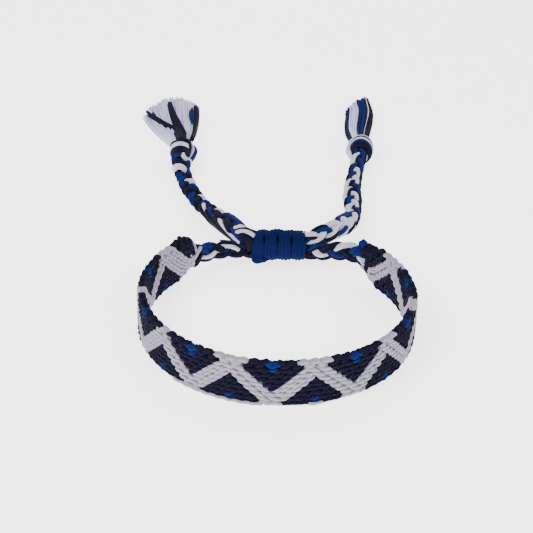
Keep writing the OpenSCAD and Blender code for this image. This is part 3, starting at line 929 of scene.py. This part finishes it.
def end_knot(side):
    """The overhand knot at the end of a cord: slanting rings, and the yarns outside them."""
    piece, at = Piece("end_knot_" + SIDES[side] + "_turns"), beyond_tail(side)
    slope_across, slope_up, tall = RING_SLOPE[side]
    a = np.linspace(0, 2 * math.pi, 40, endpoint=False)
    for place, ring, rad, col in RINGS[side]:
        slope = STEEP_RING.get((side, place), slope_across)
        x, z = ring * np.cos(a), ring * tall * np.sin(a)
        z_clear = np.maximum(z, rad + TASSEL_GAP - KNOT_Z)
        piece.tube(at(place + slope * x + slope_up * z, x + RING_SHIFT, z_clear), rad, col, closed=True)
    for col, rad, points in OUTER[side]:
        line = spline(at(*np.array(points).T), 0.5)
        line[:, 2] = np.maximum(line[:, 2], rad + TASSEL_GAP)
        piece.tube(line, rad, col)
    o = piece.build("navy_cotton")
    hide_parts("end_knot_" + SIDES[side])


def across_fan(side, along, f):
    """How far across a tassel its share f lies, from the left edge (0) to the right (1)."""
    left, right = (np.interp(along, *np.array(FAN[side][key], float).T) for key in ("left", "right"))
    return left + (right - left) * f


def tassel_colour(side, f, k):
    """Colour of yarn k, which lies at share f across the tassel. The left tassel is white, and
    the right one has navy and blue on both sides of the white, with a few white yarns in it.
    Next to the second blue, part of that navy is painted shade on white yarns."""
    # Past 0.74 across the right tassel the yarns are navy, with a few white ones: at the far edge that is the
    # yarns' own navy, and next to the blue it is partly navy yarn and partly painted shade on white yarns
    if side < 0 or 0.79 < f < 0.87 and k % 4 == 0:
        return WHITE
    if f < 0.05 or f > 0.74:
        return NAVY
    return BLUE if f < 0.16 or f > 0.46 else WHITE


def tassel(side):
    """The loose yarns beyond an end knot."""
    piece, at = Piece("tassel_" + SIDES[side] + "_yarns"), beyond_tail(side)
    count, thick, unequal = TASSEL[side]
    reach = np.array(FAN[side]["reach"], float).T
    for k in range(count):
        f0 = (k + rng.random()) / count
        high = 0.3 + rng.random() * thick * (0.35 + 0.65 * (1 - (2 * f0 - 1) ** 4))
        f1 = f0 + rng.normal(0, 0.015)
        along = np.linspace(TASSEL_START, np.interp(f1, *reach) - rng.random() * unequal, 14)
        u = (along - TASSEL_START) / (along[-1] - TASSEL_START)
        x = across_fan(side, along, f0 + (f1 - f0) * ease(u))
        x += 0.22 * np.sin(u * 5 + rng.random() * 6.3) * u
        drop = ease(np.clip(u / 0.5, 0, 1))
        z = (KNOT_Z + (high - 1.6) * 0.9) * (1 - drop) + high * drop
        z += 0.10 * np.sin(u * 7 + rng.random() * 6.3)
        line = at(along, x, np.maximum(z, TASSEL_YARN_R + TASSEL_GAP) - KNOT_Z)
        piece.tube(line, TASSEL_YARN_R, tassel_colour(side, f0, k), sides=5, lay=2.2)
    for count, lock in LOCKS[side]:
        middle = spline(lock, 1.6)
        for k in range(count):
            f = (k + 0.5) / count * 2 - 1
            along, x, width = middle[: len(middle) - int(rng.integers(0, 2))].T
            u = ease(np.clip((along - 6) / 17, 0, 1))
            z = (KNOT_Z + 1.4) * (1 - u) + 3.0 * u + 0.3 * (k % 3) - 0.25 * f * f
            line = at(along, x + f * width / 2, z - KNOT_Z)
            piece.tube(line, LOCK_YARN_R, NAVY, sides=7, lay=2.2)
    for f, start, stop, high in BLUE_THREADS[side]:
        along = np.linspace(start, stop, 9)
        thin = THREAD_R * np.sin(np.linspace(0.25, 2.9, 9)) ** 0.5
        piece.tube(at(along, across_fan(side, along, f), high - KNOT_Z), thin, BLUE, sides=6, lay=2.2)
    o = piece.build("white_cotton", [YARN[NAVY], YARN[BLUE], LOOSE_WHITE])
    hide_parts("tassel_" + SIDES[side])


for side, name in SIDES.items():
    end_knot(side)
    tassel(side)

# Floor, light and camera, in metres
FLOOR_HALF = 3
FLOOR_COLOUR = (0.9, 0.9, 0.9, 1)
FLOOR_GLOW = 2.4
WORLD_GLOW = 0.7
LIGHT_AIM = (0, 0.03, 0)
LIGHTS = [  # name, place, size, watts
    ("key", (-0.35, -0.25, 0.55), 0.35, 5.0),
    ("fill", (0.45, -0.35, 0.35), 0.4, 2.0),
    ("back", (0.1, 0.6, 0.5), 0.4, 2.5),
]
CAMERA_EYE = Vector((-0.002805, -0.24742, 0.15718))
CAMERA_AIM = Vector((-0.002805, 0.02844, 0.0))
CAMERA_ROLL = 0.0326
CAMERA_LENS, CAMERA_SENSOR = 81.685, 36


def add_floor():
    material = bpy.data.materials.new("floor")
    material.use_nodes = True
    bsdf = material.node_tree.nodes["Principled BSDF"]
    bsdf.inputs["Base Color"].default_value = FLOOR_COLOUR
    bsdf.inputs["Roughness"].default_value = 0.9
    bsdf.inputs["Emission Color"].default_value = (1, 1, 1, 1)
    bsdf.inputs["Emission Strength"].default_value = FLOOR_GLOW
    mesh = bpy.data.meshes.new("floor")
    corners = [(x * FLOOR_HALF, y * FLOOR_HALF, 0) for x, y in ((-1, -1), (1, -1), (1, 1), (-1, 1))]
    mesh.from_pydata(corners, [], [(0, 1, 2, 3)])
    mesh.materials.append(material)
    floor = bpy.data.objects.new("floor", mesh)
    bpy.context.scene.collection.objects.link(floor)


def add_world():
    world = bpy.data.worlds.new("studio")
    world.use_nodes = True
    background = world.node_tree.nodes["Background"]
    background.inputs["Color"].default_value = (1, 1, 1, 1)
    background.inputs["Strength"].default_value = WORLD_GLOW
    bpy.context.scene.world = world


def add_light(name, place, size, watts):
    light = bpy.data.lights.new(name, "AREA")
    light.size = size
    light.energy = watts
    o = bpy.data.objects.new(name, light)
    o.location = place
    o.rotation_mode = "QUATERNION"
    o.rotation_quaternion = (Vector(place) - Vector(LIGHT_AIM)).to_track_quat("Z", "Y")
    bpy.context.scene.collection.objects.link(o)


def add_camera():
    back = (CAMERA_EYE - CAMERA_AIM).normalized()
    level = Vector((1, 0, 0))
    upright = level.cross(-back)
    right = level * math.cos(CAMERA_ROLL) + upright * math.sin(CAMERA_ROLL)
    up = upright * math.cos(CAMERA_ROLL) - level * math.sin(CAMERA_ROLL)
    lens = bpy.data.cameras.new("camera")
    lens.sensor_width = CAMERA_SENSOR
    lens.lens = CAMERA_LENS
    lens.clip_start = 0.01
    lens.clip_end = 20
    camera = bpy.data.objects.new("camera", lens)
    turn = Matrix((right, up, back)).transposed().to_4x4()
    camera.matrix_world = Matrix.Translation(CAMERA_EYE) @ turn
    bpy.context.scene.collection.objects.link(camera)
    bpy.context.scene.camera = camera


add_floor()
add_world()
for light in LIGHTS:
    add_light(*light)
add_camera()
